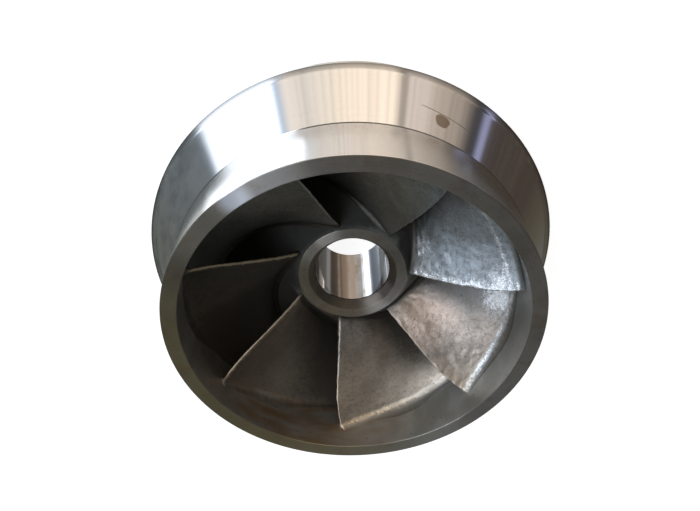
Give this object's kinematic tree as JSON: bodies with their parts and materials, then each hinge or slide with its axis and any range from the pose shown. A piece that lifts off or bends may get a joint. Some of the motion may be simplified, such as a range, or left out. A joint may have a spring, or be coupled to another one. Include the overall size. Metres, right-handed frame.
{
  "type": "closed pump impeller",
  "caption": "Closed mixed-flow pump impeller with a machined eye ring, flared front shroud, twisted vanes and a bored hub.",
  "frame": {"origin": "on the shaft axis, at the rear face of the hub", "axes": "+Z along the shaft axis towards the suction eye; +X and +Y across it, with no vane edge on either"},
  "size_m": [0.38, 0.38, 0.163],
  "materials": {
    "ring_steel": "fine turned, satin, slightly dulled",
    "turned_steel": "turned and polished, with fine circular tool marks",
    "hub_steel": "turned face, reamed and polished bore",
    "web_steel": "cast and cleaned, with a turned rear rim",
    "vane_steel": "cast, hand ground, dull with bright ground specks"
  },
  "bodies": {
    "root": {"eye_ring": "ring_steel", "front_shroud": "turned_steel", "hub": "hub_steel", "back_shroud": "web_steel", "vane_1": "vane_steel", "vane_2": "vane_steel", "vane_3": "vane_steel", "vane_4": "vane_steel", "vane_5": "vane_steel", "vane_6": "vane_steel", "vane_7": "vane_steel"}
  },
  "joints": []
}
